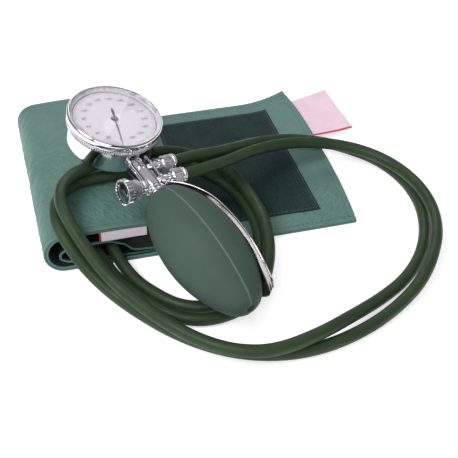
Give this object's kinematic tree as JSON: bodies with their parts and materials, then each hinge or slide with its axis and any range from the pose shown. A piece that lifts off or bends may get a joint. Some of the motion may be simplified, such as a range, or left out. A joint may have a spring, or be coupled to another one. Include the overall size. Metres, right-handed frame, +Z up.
{
  "type": "aneroid sphygmomanometer",
  "caption": "Palm-type aneroid blood-pressure gauge with squeeze bulb and bent metal hand guard, joined by dark rubber hoses to a folded green fabric arm cuff.",
  "frame": {"origin": "centre of the folded cuff's underside, on the surface that it lies on", "axes": "+Z up, +Y along the cuff's width towards its back edge, +X from the folded edge to the free flap"},
  "size_m": [0.2418, 0.2582, 0.0771],
  "materials": {
    "chrome": "polished",
    "glass": "clear",
    "dial_white": "satin",
    "pointer_dark": "satin",
    "movement_brass": "satin",
    "capsule_bronze": "satin",
    "movement_steel": "satin",
    "black_rubber": "matte",
    "bulb_rubber": "matte",
    "hose_rubber": "satin",
    "bladder_rubber": "matte",
    "cuff_green": "woven, coated",
    "patch_teal": "hook pile",
    "tag_white": "smooth"
  },
  "bodies": {
    "cuff_and_gauge": {"bezel_ring": "chrome", "bladder": "bladder_rubber", "bladder_ports": "bladder_rubber", "bulb": "bulb_rubber", "bulb_nipple": "chrome", "capsule_feed": "movement_brass", "capsule_lower": "capsule_bronze", "capsule_stud": "movement_brass", "capsule_upper": "capsule_bronze", "case_screws": "movement_steel", "cuff_cover": "cuff_green", "cuff_pocket": "cuff_green", "dial_plate": "dial_white", "gauge_case": "chrome", "gauge_glass": "glass", "glass_gasket": "black_rubber", "hairspring": "movement_steel", "hairspring_stud": "movement_brass", "hand_guard": "chrome", "hook_patch": "patch_teal", "hose_front": "hose_rubber", "hose_rear": "hose_rubber", "inlet_filter": "movement_brass", "inlet_valve_seat": "chrome", "inner_tag": "tag_white", "movement_base_plate": "movement_brass", "movement_posts": "movement_brass", "movement_top_plate": "movement_brass", "outer_tag": "tag_white", "plate_pillars": "movement_brass", "union_front": "chrome", "union_rear": "chrome", "valve_block": "chrome", "valve_bonnet": "chrome", "valve_seat": "movement_brass"},
    "sector": {"sector_gear": "movement_brass", "sector_pin": "movement_steel", "sector_arbor": "movement_steel"},
    "pointer_staff": {"pinion_arbor": "movement_steel", "pointer": "pointer_dark", "hairspring_collet": "movement_brass"},
    "rocker": {"rocking_shaft": "movement_steel"},
    "capsule_head": {"capsule_button": "movement_brass"},
    "release_knob": {"valve_knob": "chrome"},
    "release_needle": {"valve_needle": "movement_steel"},
    "rear_union_nut": {"union_nut_rear": "chrome"},
    "front_union_nut": {"union_nut_front": "chrome"},
    "check_disc": {"outlet_check_disc": "black_rubber"},
    "inlet_ball_body": {"inlet_ball": "movement_steel"}
  },
  "joints": [
    {"name": "sector_swing", "type": "hinge", "parent": "cuff_and_gauge", "child": "sector", "pos_m": [-0.05575, -0.01144, 0.06335], "axis": [0.2011, -0.1539, 0.9674], "range_deg": [0, 42.19]},
    {"name": "pointer_turn", "type": "hinge", "parent": "cuff_and_gauge", "child": "pointer_staff", "pos_m": [-0.04389, -0.02323, 0.06314], "axis": [0.2011, -0.1539, 0.9674], "range_deg": [-337.5, 0], "deforming": ["hairspring"]},
    {"name": "rocker_tilt", "type": "hinge", "parent": "cuff_and_gauge", "child": "rocker", "pos_m": [-0.05053, -0.02376, 0.05523], "axis": [0.3292, -0.9195, -0.2147], "range_deg": [0, 20.73]},
    {"name": "capsule_rise", "type": "slide", "parent": "cuff_and_gauge", "child": "capsule_head", "axis": [0.2011, -0.1539, 0.9674], "range_m": [0, 0.0019], "stiffness_N_per_m": 5000, "deforming": ["capsule_upper"]},
    {"name": "valve_turn", "type": "hinge", "parent": "cuff_and_gauge", "child": "release_knob", "pos_m": [-0.04354, -0.07052, 0.04727], "axis": [-0.9226, -0.3617, 0.1342], "range_deg": [0, 540]},
    {"name": "needle_lift", "type": "slide", "parent": "cuff_and_gauge", "child": "release_needle", "axis": [-0.9226, -0.3617, 0.1342], "range_m": [0, 0.00105]},
    {"name": "rear_nut_spin", "type": "hinge", "parent": "cuff_and_gauge", "child": "rear_union_nut", "pos_m": [-0.01694, -0.04593, 0.04566], "axis": [0.9226, 0.3617, -0.1342], "continuous": true},
    {"name": "front_nut_spin", "type": "hinge", "parent": "cuff_and_gauge", "child": "front_union_nut", "pos_m": [-0.01299, -0.05697, 0.04308], "axis": [0.9226, 0.3617, -0.1342], "continuous": true},
    {"name": "check_disc_lift", "type": "slide", "parent": "cuff_and_gauge", "child": "check_disc", "axis": [-0.3292, 0.9195, 0.2147], "range_m": [0, 0.0008]},
    {"name": "inlet_ball_lift", "type": "slide", "parent": "cuff_and_gauge", "child": "inlet_ball_body", "axis": [-0.3292, 0.9195, 0.2147], "range_m": [0, 0.001]}
  ],
  "couplings": [
    {"joint": "sector_swing", "follows": "capsule_rise", "rad_per_m": 387.53},
    {"joint": "pointer_turn", "follows": "capsule_rise", "rad_per_m": -3100.2},
    {"joint": "rocker_tilt", "follows": "capsule_rise", "rad_per_m": 190.45},
    {"joint": "needle_lift", "follows": "valve_turn", "m_per_rad": 0.0001114}
  ]
}
